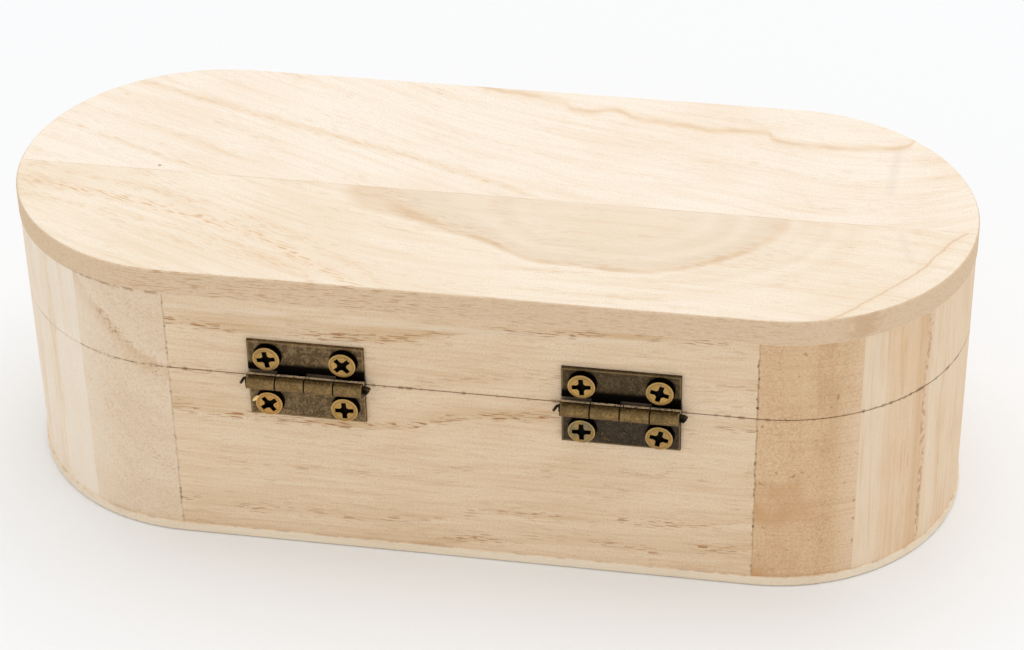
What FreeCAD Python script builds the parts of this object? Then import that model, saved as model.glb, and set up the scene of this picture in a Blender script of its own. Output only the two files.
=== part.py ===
"""Stadium-shaped wooden box with a hinged lid, in millimetres.

The box stands on its bottom panel. The origin is the centre of the panel's underside, X runs along the
box, the hinges are on the back (+Y) and the clasp is on the front (-Y). Left and right are as seen from
the front, so left is -X.
"""
import FreeCAD, Part
import math
import os

import Sketcher

doc = FreeCAD.newDocument("wooden_box")

SIZES = [
    # Body of the box
    ("length", 200, "overall length of the walls"),
    ("width", 80, "overall width of the walls, twice the radius of the round ends"),
    ("wall", 8, "thickness of the walls"),
    ("end_board", 20, "thickness of the inner board of each laminated round end"),
    ("base_height", 42.1, "underside to the rim of the base"),
    ("bottom_thick", 2.2, "thickness of the bottom panel"),
    ("bottom_overhang", 0.4, "how far the bottom panel stands proud of the walls"),
    ("bottom_round", 0.5, "rounding of the bottom panel's lower edge"),
    # Lid
    ("lid_height", 23.7, "rim of the lid to its top"),
    ("lid_gap", 0.2, "saw gap between the rims when the lid is shut"),
    ("top_thick", 5.6, "thickness of the lid's top boards"),
    ("top_overhang", 0.2, "how far the top boards stand proud of the walls"),
    ("top_round", 0.6, "rounding of the top's upper edge"),
    ("glue_line", 3.5, "from the middle of the top to the joint of its boards, towards the hinges"),
    # Hinges
    ("left_hinge_inset", 27, "left joint of the back wall to the middle of the left hinge"),
    ("right_hinge_inset", 29, "right joint of the back wall to the middle of the right hinge"),
    ("leaf_length", 24, "length of a hinge along its pin"),
    ("leaf_width", 9, "pin axis to the free edge of a leaf"),
    ("leaf_thick", 0.8, "sheet thickness of a leaf"),
    ("pin", 1.7, "diameter of the hinge pin"),
    ("pin_fit", 0.05, "radial play of the pin in the knuckles"),
    ("knuckle_play", 0.2, "gap between neighbouring knuckles along the pin"),
    ("knuckle_room", 0.3, "room between a knuckle and what it turns past"),
    ("leaf_joggle", 1.2, "height over which a leaf steps off the wood to meet its knuckles"),
    ("leaf_round", 0.15, "rounding of a leaf's outer edges from stamping"),
    ("pin_reach", 0.3, "how far the straight pin stands out of the knuckles"),
    ("nub_bend", 0.9, "bend radius of the blunt pin end"),
    ("nub_turn", 40, "turn of the blunt pin end, in degrees"),
    ("nub_length", 0.1, "straight part after that turn"),
    ("tail", 0.6, "diameter of the thin pin end"),
    ("tail_lift", 0.5, "how far the thin end lies above the pin's axis"),
    ("tail_bend", 0.6, "bend radius of the thin pin end"),
    ("tail_turn", 60, "turn of the thin pin end, in degrees"),
    ("tail_length", 1.2, "straight part after that turn"),
    # Wood screws of the hinges
    ("screw_inset", 4.2, "end of a leaf to the screw's axis"),
    ("screw_offset", 5.5, "pin axis to the screw's axis"),
    ("screw_head", 5.5, "diameter of the countersunk head"),
    ("screw_rim", 0.12, "straight rim of the head"),
    ("screw_bevel", 0.35, "width of the bevel round the head's face"),
    ("screw_bevel_drop", 0.14, "height of that bevel"),
    ("screw_shank", 2.2, "diameter of the shank"),
    ("screw_length", 8.5, "whole length of the screw"),
    ("screw_point", 2.4, "length of the pointed end"),
    ("screw_fit", 0.05, "radial play of a screw in its holes"),
    ("hole_spare", 0.4, "how much deeper a pilot hole is than its screw"),
    ("recess_span", 3.8, "width of a cross recess over its arms"),
    ("recess_slot", 1.0, "width of one arm of a cross recess"),
    ("recess_corner", 0.5, "radius of the inner corners of a cross recess"),
    ("recess_depth", 0.9, "depth of a cross recess"),
    # Clasp
    ("clasp_drop", 11, "rim of the base down to the hook's pivot"),
    ("clasp_rise", 8.5, "rim of the base up to the catch"),
    ("hook_thick", 1.2, "sheet thickness of the hook"),
    ("hook_eye", 7.6, "diameter of the hook's eye end"),
    ("hook_shank", 4.2, "width of the hook's shank"),
    ("hook_end", 8.4, "diameter of the hook's notched end"),
    ("horn_radius", 6, "middle radius of the curved horn that a finger pushes"),
    ("horn_width", 2.2, "width of the horn"),
    ("horn_turn", 85, "turn of the horn, in degrees"),
    ("horn_tip", 3.2, "diameter of the horn's round tip"),
    ("hook_corner", 0.6, "rounding of the corners of the hook's outline"),
    ("hook_round", 0.3, "rounding of the hook's front edges"),
    ("spacer_thick", 0.6, "thickness of the washer behind the hook"),
    ("spacer_rim", 1.6, "width of that washer's ring"),
    ("hook_play", 0.15, "play of the hook along its pivot, on each side"),
    ("stud", 2.6, "diameter of the smooth shoulder of the pivot and the catch"),
    ("stud_fit", 0.06, "radial play of the hook and the washer on the pivot"),
    ("notch_fit", 0.35, "radial room round the catch in the hook's notch"),
    ("stud_head", 5.2, "diameter of the domed heads"),
    ("stud_dome", 1.4, "height of the domed heads"),
    ("stud_thread", 1.8, "diameter of the threaded end in the wood"),
    ("stud_sunk", 6.5, "length of the threaded end"),
    # Cuts
    ("overrun", 1, "how far a cut runs past what it cuts"),
]
CONE_SEAT_SHARE = 0.75  # part of a leaf's thickness that a countersunk head sinks into
KNUCKLES = 4
RECESS_TURNS = {  # how far each hinge screw happened to be turned, in degrees
    "lid": (-15, 4, 43, 9),
    "base": (-13, 2, 3, 38),
}
SIDES = {"left": -1, "right": 1}
FACES = {"front": -1, "back": 1}

sheet = doc.addObject("Spreadsheet::Sheet", "sizes")
for row, (alias, number, meaning) in enumerate(SIZES, start=1):
    sheet.set(f"A{row}", meaning)
    sheet.set(f"B{row}", str(number))
    sheet.setAlias(f"B{row}", alias)
doc.recompute()

# Places that follow from the sizes
half_width = "(sizes.width / 2)"
half_hollow = "(sizes.width / 2 - sizes.wall)"
straight = "((sizes.length - sizes.width) / 2)"
lamina = f"({straight} + sizes.end_board)"
lamina_outside = f"sqrt({half_width}^2 - sizes.end_board^2)"
lamina_inside = f"sqrt({half_hollow}^2 - sizes.end_board^2)"
lid_rim = "(sizes.base_height + sizes.lid_gap)"
lid_wall_height = "(sizes.lid_height - sizes.top_thick)"
base_wall_height = "(sizes.base_height - sizes.bottom_thick)"
pin_height = "(sizes.base_height + sizes.lid_gap / 2)"
bore_radius = "(sizes.pin / 2 + sizes.pin_fit)"
barrel_radius = f"({bore_radius} + sizes.leaf_thick)"
pin_depth = f"({half_width} + sizes.knuckle_room + {barrel_radius})"
leaf_face = f"({half_width} + sizes.leaf_thick)"
cone_sink = f"({CONE_SEAT_SHARE} * sizes.leaf_thick)"
leaf_hole_radius = f"(sizes.screw_shank / 2 + sizes.screw_fit + {cone_sink})"
hinge_places = {
    "left": f"(sizes.left_hinge_inset - {straight})",
    "right": f"({straight} - sizes.right_hinge_inset)",
}
stud_grip = "(sizes.spacer_thick + sizes.hook_thick + 2 * sizes.hook_play)"
pivot_height = "(sizes.base_height - sizes.clasp_drop)"
catch_height = "(sizes.base_height + sizes.clasp_rise)"


def value(expression):
    """Work out an expression of the sheet's names as a number."""
    return float(sheet.evalExpression(expression))


def times(sign, expression):
    """Mirror an expression with a sign of 1 or -1."""
    return f"({sign} * {expression})"


def new_body(label):
    """An empty body for one sub-part."""
    body = doc.addObject("PartDesign::Body", label)
    body.Label = label
    return body


def new_sketch(body, role, depth="0"):
    """A sketch parallel to one of the body's own planes, moved along that plane's normal."""
    sketch = body.newObject("Sketcher::SketchObject", body.Name + "_sketch")
    plane = next(item for item in body.Origin.OriginFeatures if item.Role == role)
    sketch.AttachmentSupport = [(plane, "")]
    sketch.MapMode = "FlatFace"
    sketch.setExpression("AttachmentOffset.Base.z", depth)
    return sketch


def bind(sketch, constraint, expression):
    """Add a dimension to a sketch and tie it to the sheet."""
    index = sketch.addConstraint(constraint)
    sketch.setExpression(f"Constraints[{index}]", expression)


def place_point(sketch, geometry, position, x, y):
    """Hold one point of a sketch at x, y."""
    bind(sketch, Sketcher.Constraint("DistanceX", -1, 1, geometry, position, value(x)), x)
    bind(sketch, Sketcher.Constraint("DistanceY", -1, 1, geometry, position, value(y)), y)


def draw_circle(sketch, x, y, radius):
    """Draw a circle about x, y."""
    centre = FreeCAD.Vector(value(x), value(y), 0)
    normal = FreeCAD.Vector(0, 0, 1)
    circle = sketch.addGeometry(Part.Circle(centre, normal, value(radius)))
    bind(sketch, Sketcher.Constraint("Radius", circle, value(radius)), radius)
    place_point(sketch, circle, 3, x, y)


def draw_line(sketch, corners, closed=True):
    """Draw edges from corner to corner.

    A straight edge follows a corner (x, y). A round edge follows a corner (x, y, centre_x, centre_y), the
    shorter way about that centre.
    """
    points = [FreeCAD.Vector(value(corner[0]), value(corner[1]), 0) for corner in corners]
    count = len(corners) if closed else len(corners) - 1
    edges = []
    for index in range(count):
        start = points[index]
        end = points[(index + 1) % len(points)]
        if len(corners[index]) == 2:
            edges.append((sketch.addGeometry(Part.LineSegment(start, end)), 1, 2))
            continue
        x, y, centre_x, centre_y = corners[index]
        centre = FreeCAD.Vector(value(centre_x), value(centre_y), 0)
        radius = f"sqrt(({x} - {centre_x})^2 + ({y} - {centre_y})^2)"
        first = math.atan2(start.y - centre.y, start.x - centre.x)
        last = math.atan2(end.y - centre.y, end.x - centre.x)
        ends = (1, 2)
        if (last - first) % (2 * math.pi) > math.pi:
            first, last = last, first
            ends = (2, 1)
        circle = Part.Circle(centre, FreeCAD.Vector(0, 0, 1), value(radius))
        arc = sketch.addGeometry(Part.ArcOfCircle(circle, first, last))
        bind(sketch, Sketcher.Constraint("Radius", arc, value(radius)), radius)
        edges.append((arc, *ends))
    for index, (edge, first_end, last_end) in enumerate(edges):
        place_point(sketch, edge, first_end, corners[index][0], corners[index][1])
        next_edge, next_end, _ = edges[(index + 1) % count]
        if closed or index + 1 < count:
            sketch.addConstraint(Sketcher.Constraint("Coincident", edge, last_end, next_edge, next_end))
        else:
            place_point(sketch, edge, last_end, corners[-1][0], corners[-1][1])


def draw_rectangle(sketch, x_low, x_high, y_low, y_high):
    """Draw an upright rectangle."""
    draw_line(sketch, [(x_low, y_low), (x_high, y_low), (x_high, y_high), (x_low, y_high)])


def pad(body, sketch, length):
    """Raise a sketch along its normal."""
    feature = body.newObject("PartDesign::Pad", body.Name + "_pad")
    feature.Profile = sketch
    feature.setExpression("Length", length)
    doc.recompute()


def cut(body, sketch, depth, along_normal=False):
    """Cut a sketch into the body, against its normal unless told otherwise."""
    volume_before = body.Shape.Volume
    feature = body.newObject("PartDesign::Pocket", body.Name + "_cut")
    feature.Profile = sketch
    feature.Reversed = along_normal
    feature.setExpression("Length", depth)
    doc.recompute()
    if not body.Shape.Volume < volume_before:
        raise RuntimeError(f"{feature.Name} cuts nothing")


def revolve(body, sketch):
    """Turn a sketch once round its upright axis."""
    feature = body.newObject("PartDesign::Revolution", body.Name + "_turn")
    feature.Profile = sketch
    feature.ReferenceAxis = (sketch, ["V_Axis"])
    feature.Angle = 360
    doc.recompute()


def round_edges(body, wanted, radius):
    """Round those edges of the body for which wanted(edge) is true."""
    base = body.Tip
    names = [f"Edge{number}" for number, edge in enumerate(base.Shape.Edges, start=1) if wanted(edge)]
    feature = body.newObject("PartDesign::Fillet", body.Name + "_round")
    feature.Base = (base, names)
    feature.setExpression("Radius", radius)
    doc.recompute()


def lies_level(edge, height):
    """True for an edge that lies in the level plane at this height."""
    box = edge.BoundBox
    return math.isclose(box.ZMin, height, abs_tol=1e-6) and math.isclose(box.ZMax, height, abs_tol=1e-6)


def lies_in_depth(edge, depth):
    """True for an edge that lies in the upright plane at this Y."""
    start, end = edge.ParameterRange
    return all(
        math.isclose(edge.valueAt(start + part * (end - start)).y, depth, abs_tol=1e-5)
        for part in (0, 0.25, 0.5, 0.75, 1)
    )


def is_upright_corner(shape, edge):
    """True for an edge straight through a sheet, along Y, at which the outline turns."""
    faces = shape.ancestorsOfType(edge, Part.Face)
    middle = edge.valueAt(sum(edge.ParameterRange) / 2)
    run = edge.Vertexes[-1].Point - edge.Vertexes[0].Point
    if len(faces) != 2 or not math.isclose(abs(run.y), edge.Length, abs_tol=1e-6):
        return False
    normals = [face.normalAt(*face.Surface.parameter(middle)) for face in faces]
    return normals[0].getAngle(normals[1]) > 0.1


def stand(body, x, y, z, rotation):
    """Put a body that was made about its own origin in its place."""
    body.Placement = FreeCAD.Placement(FreeCAD.Vector(value(x), value(y), value(z)), rotation)
    body.setExpression("Placement.Base.x", x)
    body.setExpression("Placement.Base.y", y)
    body.setExpression("Placement.Base.z", z)


def hinge_screw_places(hinge, sign):
    """The two screw axes of one leaf, as (x, z). The sign is 1 on the lid and -1 on the base."""
    reach = "(sizes.leaf_length / 2 - sizes.screw_inset)"
    height = f"({pin_height} + {times(sign, 'sizes.screw_offset')})"
    return [(f"({hinge_places[hinge]} + {times(end, reach)})", height) for end in (-1, 1)]


def drill(wall, face, places, radius, depth):
    """Drill blind holes square into the outer face of a front or back wall."""
    sketch = new_sketch(wall, "XZ_Plane", times(-FACES[face], half_width))
    for x, z in places:
        draw_circle(sketch, x, z, radius)
    cut(wall, sketch, depth, along_normal=face == "back")


def make_walls(level, low, height):
    """The eight glued pieces of the base's or the lid's ring: straight walls, shoulders and end caps."""
    for face, across in FACES.items():
        wall = new_body(f"{level}_{face}_wall")
        sketch = new_sketch(wall, "XY_Plane", low)
        inside = times(across, half_hollow)
        outside = times(across, half_width)
        draw_rectangle(sketch, times(-1, straight), straight, inside, outside)
        pad(wall, sketch, height)
    for side, along in SIDES.items():
        joint = times(along, straight)
        split = times(along, lamina)
        for face, across in FACES.items():
            shoulder = new_body(f"{level}_{side}_{face}_shoulder")
            sketch = new_sketch(shoulder, "XY_Plane", low)
            draw_line(sketch, [
                (joint, times(across, half_width), joint, "0"),
                (split, times(across, lamina_outside)),
                (split, times(across, lamina_inside), joint, "0"),
                (joint, times(across, half_hollow)),
            ])
            pad(shoulder, sketch, height)
        cap = new_body(f"{level}_{side}_end_cap")
        sketch = new_sketch(cap, "XY_Plane", low)
        draw_line(sketch, [
            (split, lamina_outside, joint, "0"),
            (split, times(-1, lamina_outside)),
            (split, times(-1, lamina_inside), joint, "0"),
            (split, lamina_inside),
        ])
        pad(cap, sketch, height)


def drill_walls(level, sign):
    """Pilot holes for the hinge screws and for the clasp's screw of the base or the lid."""
    places = [place for hinge in SIDES for place in hinge_screw_places(hinge, sign)]
    radius = "(sizes.screw_shank / 2 + sizes.screw_fit)"
    depth = f"(sizes.screw_length - ({screw_top} + sizes.leaf_thick) + sizes.hole_spare)"
    drill(doc.getObject(f"{level}_back_wall"), "back", places, radius, depth)
    places = [("0", catch_height if level == "lid" else pivot_height)]
    radius = "(sizes.stud_thread / 2 + sizes.screw_fit)"
    depth = "(sizes.stud_sunk + sizes.hole_spare)"
    drill(doc.getObject(f"{level}_front_wall"), "front", places, radius, depth)


def make_bottom():
    """The thin bottom panel, glued under the walls."""
    panel = new_body("bottom_panel")
    sketch = new_sketch(panel, "XY_Plane")
    reach = f"({half_width} + sizes.bottom_overhang)"
    tip = f"({straight} + {reach})"
    draw_line(sketch, [
        (straight, reach, straight, "0"),
        (tip, "0", straight, "0"),
        (straight, times(-1, reach)),
        (times(-1, straight), times(-1, reach), times(-1, straight), "0"),
        (times(-1, tip), "0", times(-1, straight), "0"),
        (times(-1, straight), reach),
    ])
    pad(panel, sketch, "sizes.bottom_thick")
    round_edges(panel, lambda edge: lies_level(edge, 0), "sizes.bottom_round")


def make_top_board(face):
    """One of the two boards of the lid's top, edge-glued along a line near the middle."""
    board = new_body(f"lid_{face}_board")
    underside = f"({lid_rim} + {lid_wall_height})"
    sketch = new_sketch(board, "XY_Plane", underside)
    reach = f"({half_width} + sizes.top_overhang)"
    glue_end = f"({straight} + sqrt({reach}^2 - sizes.glue_line^2))"
    edge = times(FACES[face], reach)
    draw_line(sketch, [
        (glue_end, "sizes.glue_line", straight, "0"),
        (straight, edge),
        (times(-1, straight), edge, times(-1, straight), "0"),
        (times(-1, glue_end), "sizes.glue_line"),
    ])
    pad(board, sketch, "sizes.top_thick")
    top = value(f"{underside} + sizes.top_thick")
    glue = value("sizes.glue_line")

    def on_outline(edge):
        middle = edge.BoundBox.Center
        return lies_level(edge, top) and not math.isclose(middle.y, glue, abs_tol=1e-6)

    round_edges(board, on_outline, "sizes.top_round")


def make_leaf(hinge, level, sign):
    """One stamped hinge leaf, its edge rolled into knuckles round the pin."""
    leaf = new_body(f"{hinge}_hinge_{level}_leaf")
    middle = hinge_places[hinge]
    first_end = f"({middle} - sizes.leaf_length / 2)"
    sheet_metal = new_sketch(leaf, "YZ_Plane", first_end)
    free_edge = f"({pin_height} + {times(sign, 'sizes.leaf_width')})"
    bend = f"({pin_height} + {times(sign, 'sizes.leaf_joggle')})"
    draw_line(sheet_metal, [
        (half_width, free_edge),
        (half_width, bend),
        (f"({half_width} + sizes.knuckle_room)", pin_height),
        (leaf_face, pin_height),
        (leaf_face, free_edge),
    ])
    pad(leaf, sheet_metal, "sizes.leaf_length")
    roll = new_sketch(leaf, "YZ_Plane", first_end)
    draw_circle(roll, pin_depth, pin_height, barrel_radius)
    draw_circle(roll, pin_depth, pin_height, bore_radius)
    pad(leaf, roll, "sizes.leaf_length")

    behind = times(-1, f"({half_width} - sizes.overrun)")
    notches = new_sketch(leaf, "XZ_Plane", behind)
    knuckle = f"(sizes.leaf_length / {KNUCKLES})"
    for place in range(KNUCKLES):
        owner = "lid" if place % 2 == 0 else "base"
        if owner == level:
            continue
        low_room = "sizes.overrun" if place == 0 else "sizes.knuckle_play / 2"
        high_room = "sizes.overrun" if place == KNUCKLES - 1 else "sizes.knuckle_play / 2"
        draw_rectangle(
            notches,
            f"({first_end} + {place} * {knuckle} - {low_room})",
            f"({first_end} + {place + 1} * {knuckle} + {high_room})",
            f"({pin_height} - {times(sign, f'({barrel_radius} + sizes.overrun)')})",
            f"({pin_height} + {times(sign, f'({barrel_radius} + sizes.knuckle_room)')})",
        )
    cut(leaf, notches, f"sizes.knuckle_room + 2 * ({barrel_radius} + sizes.overrun)")
    holes = new_sketch(leaf, "XZ_Plane", behind)
    for x, z in hinge_screw_places(hinge, sign):
        draw_circle(holes, x, z, leaf_hole_radius)
    cut(leaf, holes, "sizes.leaf_thick + 2 * sizes.overrun")
    outer_face = value(leaf_face)
    outer_edge = value(free_edge)
    ends = [value(first_end), value(first_end) + value("sizes.leaf_length")]

    def is_outer(edge):
        points = [vertex.Point for vertex in edge.Vertexes]
        if not all(math.isclose(point.y, outer_face, abs_tol=1e-6) for point in points):
            return False
        along_edge = all(math.isclose(point.z, outer_edge, abs_tol=1e-6) for point in points)
        along_end = any(all(math.isclose(point.x, end, abs_tol=1e-6) for point in points) for end in ends)
        return along_edge or along_end

    round_edges(leaf, is_outer, "sizes.leaf_round")


def bend_pin_end(body, kind, direction, end, height, diameter):
    """Turn one end of a hinge pin downwards: an arc, then a short straight run. kind is nub or tail."""
    bend, turn, run = f"sizes.{kind}_bend", f"sizes.{kind}_turn", f"sizes.{kind}_length"
    section = new_sketch(body, "YZ_Plane", end)
    draw_circle(section, pin_depth, height, f"{diameter} / 2")
    path = new_sketch(body, "XZ_Plane", times(-1, pin_depth))
    bend_x = f"({end} + {direction} * {bend} * sin({turn}))"
    bend_z = f"({height} - {bend} * (1 - cos({turn})))"
    draw_line(path, [
        (end, height, end, f"({height} - {bend})"),
        (bend_x, bend_z),
        (f"({bend_x} + {direction} * {run} * cos({turn}))", f"({bend_z} - {run} * sin({turn}))"),
    ], closed=False)
    doc.recompute()
    pipe = body.newObject("PartDesign::AdditivePipe", body.Name + "_bend")
    pipe.Profile = section
    pipe.Spine = (path, ["Edge1", "Edge2"])
    doc.recompute()


def make_pin(hinge):
    """The wire pin of one hinge, held by its turned ends: a blunt nub left, a thin tail right."""
    pin = new_body(f"{hinge}_hinge_pin")
    middle = hinge_places[hinge]
    reach = "(sizes.leaf_length / 2 + sizes.pin_reach)"
    left_end = f"({middle} - {reach})"
    right_end = f"({middle} + {reach})"
    section = new_sketch(pin, "YZ_Plane", left_end)
    draw_circle(section, pin_depth, pin_height, "sizes.pin / 2")
    pad(pin, section, f"2 * {reach}")
    bend_pin_end(pin, "nub", -1, left_end, pin_height, "sizes.pin")
    bend_pin_end(pin, "tail", 1, right_end, f"({pin_height} + sizes.tail_lift)", "sizes.tail")


def cut_cross(body, top):
    """Sink a cross recess with rounded inner corners into a screw's head."""
    arm = "(sizes.recess_span / 2)"
    side = "(sizes.recess_slot / 2)"
    bend = "(sizes.recess_slot / 2 + sizes.recess_corner)"
    sketch = new_sketch(body, "XY_Plane", top)
    outline = []
    for across, up in ((1, 1), (-1, 1), (-1, -1), (1, -1)):
        from_side = [
            (times(across, arm), times(up, side)),
            (times(across, bend), times(up, side)),
        ]
        from_top = [
            (times(across, side), times(up, bend)),
            (times(across, side), times(up, arm)),
        ]
        start, finish = (from_side, from_top) if across == up else (from_top[::-1], from_side[::-1])
        centre = (times(across, bend), times(up, bend))
        outline += [start[0], start[1] + centre, finish[0], finish[1]]
    draw_line(sketch, outline)
    cut(body, sketch, "sizes.recess_depth")


screw_cone = f"((sizes.screw_head - sizes.screw_shank) / 2 - {cone_sink})"
screw_top = f"({screw_cone} + sizes.screw_rim + sizes.screw_bevel_drop)"


def make_hinge_screw(name, x, z, turn):
    """One countersunk wood screw. Its own origin is on the leaf's face, where the cone wedges in the hole."""
    screw = new_body(name)
    sketch = new_sketch(screw, "XZ_Plane")
    head = "sizes.screw_head / 2"
    shank = "sizes.screw_shank / 2"
    end = f"({screw_top} - sizes.screw_length)"
    draw_line(sketch, [
        ("0", screw_top),
        (f"({head} - sizes.screw_bevel)", screw_top),
        (head, f"({screw_top} - sizes.screw_bevel_drop)"),
        (head, screw_cone),
        (shank, times(-1, cone_sink)),
        (shank, f"({end} + sizes.screw_point)"),
        ("0", end),
    ])
    revolve(screw, sketch)
    cut_cross(screw, screw_top)
    outwards = FreeCAD.Rotation(FreeCAD.Vector(1, 0, 0), -90)
    stand(screw, x, leaf_face, z, outwards * FreeCAD.Rotation(FreeCAD.Vector(0, 0, 1), turn))
    return screw


def make_hinge_screws(level, sign):
    """The four screws that hold both hinges to the lid or to the base, as one group."""
    screws = []
    for hinge in SIDES:
        for x, z in hinge_screw_places(hinge, sign):
            turn = RECESS_TURNS[level][len(screws)]
            screws.append(make_hinge_screw(f"{level}_hinge_screw_{len(screws) + 1}", x, z, turn))
    group = doc.addObject("Part::Compound", f"{level}_hinge_screws")
    group.Label = f"{level}_hinge_screws"
    group.Links = screws


def make_stud(label, height):
    """A dome-headed shoulder screw of the clasp. Its own origin is on the wood's outer face."""
    stud = new_body(label)
    sketch = new_sketch(stud, "XZ_Plane")
    head = "(sizes.stud_head / 2)"
    dome_radius = f"(({head}^2 + sizes.stud_dome^2) / (2 * sizes.stud_dome))"
    top = f"({stud_grip} + sizes.stud_dome)"
    end = times(-1, "sizes.stud_sunk")
    draw_line(sketch, [
        ("0", top, "0", f"({top} - {dome_radius})"),
        (head, stud_grip),
        ("sizes.stud / 2", stud_grip),
        ("sizes.stud / 2", "0"),
        ("sizes.stud_thread / 2", "0"),
        ("sizes.stud_thread / 2", f"({end} + sizes.screw_point)"),
        ("0", end),
    ])
    revolve(stud, sketch)
    cut_cross(stud, top)
    outwards = FreeCAD.Rotation(FreeCAD.Vector(1, 0, 0), 90)
    stand(stud, "0", times(-1, half_width), height, outwards)


def make_spacer():
    """The washer between the hook and the wood."""
    spacer = new_body("clasp_spacer")
    sketch = new_sketch(spacer, "XZ_Plane", half_width)
    bore = "(sizes.stud / 2 + sizes.stud_fit)"
    draw_circle(sketch, "0", pivot_height, bore)
    draw_circle(sketch, "0", pivot_height, f"({bore} + sizes.spacer_rim)")
    pad(spacer, sketch, "sizes.spacer_thick")


def make_hook():
    """The stamped swing hook, hanging from its pivot. Its notch opens right and its horn curls left."""
    hook = new_body("clasp_hook")
    back = f"({half_width} + sizes.spacer_thick + sizes.hook_play)"
    reach = "(sizes.clasp_drop + sizes.clasp_rise)"
    notch_height = f"({pivot_height} - {reach})"
    eye = new_sketch(hook, "XZ_Plane", back)
    draw_circle(eye, "0", pivot_height, "sizes.hook_eye / 2")
    pad(hook, eye, "sizes.hook_thick")
    shank = new_sketch(hook, "XZ_Plane", back)
    edge = "(sizes.hook_shank / 2)"
    draw_rectangle(shank, times(-1, edge), edge, notch_height, pivot_height)
    pad(hook, shank, "sizes.hook_thick")
    end = new_sketch(hook, "XZ_Plane", back)
    draw_circle(end, "0", notch_height, "sizes.hook_end / 2")
    pad(hook, end, "sizes.hook_thick")

    horn = new_sketch(hook, "XZ_Plane", back)
    centre = "(-sizes.horn_radius)"
    outer = "(sizes.horn_radius + sizes.horn_width / 2)"
    inner = "(sizes.horn_radius - sizes.horn_width / 2)"
    across = "cos(sizes.horn_turn)"
    down = "sin(sizes.horn_turn)"
    draw_line(horn, [
        (f"({centre} + {outer})", notch_height, centre, notch_height),
        (f"({centre} + {outer} * {across})", f"({notch_height} - {outer} * {down})"),
        (f"({centre} + {inner} * {across})", f"({notch_height} - {inner} * {down})", centre, notch_height),
        (f"({centre} + {inner})", notch_height),
    ])
    pad(hook, horn, "sizes.hook_thick")
    tip = new_sketch(hook, "XZ_Plane", back)
    tip_x = f"({centre} + sizes.horn_radius * {across})"
    tip_z = f"({notch_height} - sizes.horn_radius * {down})"
    draw_circle(tip, tip_x, tip_z, "sizes.horn_tip / 2")
    pad(hook, tip, "sizes.hook_thick")

    through = f"({half_width} + {stud_grip} + sizes.overrun)"
    depth = f"({stud_grip} + sizes.overrun)"
    bore = new_sketch(hook, "XZ_Plane", through)
    draw_circle(bore, "0", pivot_height, "(sizes.stud / 2 + sizes.stud_fit)")
    cut(hook, bore, depth)
    notch = new_sketch(hook, "XZ_Plane", through)
    room = "(sizes.stud / 2 + sizes.notch_fit)"
    mouth = "(sizes.hook_end / 2 + sizes.overrun)"
    draw_line(notch, [
        (mouth, f"({notch_height} + {room})"),
        ("0", f"({notch_height} + {room})", "0", notch_height),
        (times(-1, room), notch_height, "0", notch_height),
        ("0", f"({notch_height} - {room})"),
        (mouth, f"({notch_height} - {room})"),
    ])
    cut(hook, notch, depth)
    round_edges(hook, lambda edge: is_upright_corner(hook.Tip.Shape, edge), "sizes.hook_corner")
    front = value(times(-1, f"({back} + sizes.hook_thick)"))
    round_edges(hook, lambda edge: lies_in_depth(edge, front), "sizes.hook_round")


make_bottom()
make_walls("base", "sizes.bottom_thick", base_wall_height)
make_walls("lid", lid_rim, lid_wall_height)
for face in FACES:
    make_top_board(face)
for level, sign in (("lid", 1), ("base", -1)):
    drill_walls(level, sign)
    for hinge in SIDES:
        make_leaf(hinge, level, sign)
    make_hinge_screws(level, sign)
for hinge in SIDES:
    make_pin(hinge)
make_hook()
make_spacer()
make_stud("clasp_pivot_screw", pivot_height)
make_stud("clasp_catch_screw", catch_height)
doc.recompute()

grouped = [screw for group in doc.findObjects("Part::Compound") for screw in group.Links]
subparts = [item for item in doc.findObjects("PartDesign::Body") if item not in grouped]
subparts += doc.findObjects("Part::Compound")
for item in doc.Objects:
    if "Invalid" in item.State or "Error" in item.State:
        raise RuntimeError(f"{item.Name} failed: {item.State}")
for subpart in subparts:
    if subpart.Shape.isNull() or not subpart.Shape.isValid() or not subpart.Shape.Solids:
        raise RuntimeError(f"{subpart.Label} has no valid solid")
os.makedirs("parts", exist_ok=True)
for subpart in subparts:
    subpart.Shape.exportStep(f"parts/{subpart.Label}.step")
print(len(subparts), "sub-parts written")
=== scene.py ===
"""Looks of a small raw-wood box with round ends and a hinged lid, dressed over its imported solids."""
import math

import bpy
import numpy as np
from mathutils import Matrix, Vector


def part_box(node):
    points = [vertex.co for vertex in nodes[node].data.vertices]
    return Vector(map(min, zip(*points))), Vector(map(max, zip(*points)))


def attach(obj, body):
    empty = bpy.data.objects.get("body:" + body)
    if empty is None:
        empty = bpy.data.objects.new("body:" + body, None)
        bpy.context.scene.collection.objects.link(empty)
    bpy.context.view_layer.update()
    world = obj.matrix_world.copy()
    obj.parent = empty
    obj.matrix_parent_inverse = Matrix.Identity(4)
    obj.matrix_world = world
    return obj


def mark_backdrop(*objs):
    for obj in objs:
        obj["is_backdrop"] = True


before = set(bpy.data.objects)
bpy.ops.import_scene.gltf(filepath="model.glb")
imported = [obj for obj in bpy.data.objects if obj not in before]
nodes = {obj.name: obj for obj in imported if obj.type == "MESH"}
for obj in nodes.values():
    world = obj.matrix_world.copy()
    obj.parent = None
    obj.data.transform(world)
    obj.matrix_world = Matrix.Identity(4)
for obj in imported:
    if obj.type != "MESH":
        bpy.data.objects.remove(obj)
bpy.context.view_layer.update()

# Lengths of the box in millimetres that several finishes share.
STRAIGHT, RADIUS = 60, 40  # half the straight walls' length, and the radius of the round ends
CAP_JOINT = 80  # from the middle of the box to the joint between shoulder and end cap
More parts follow.
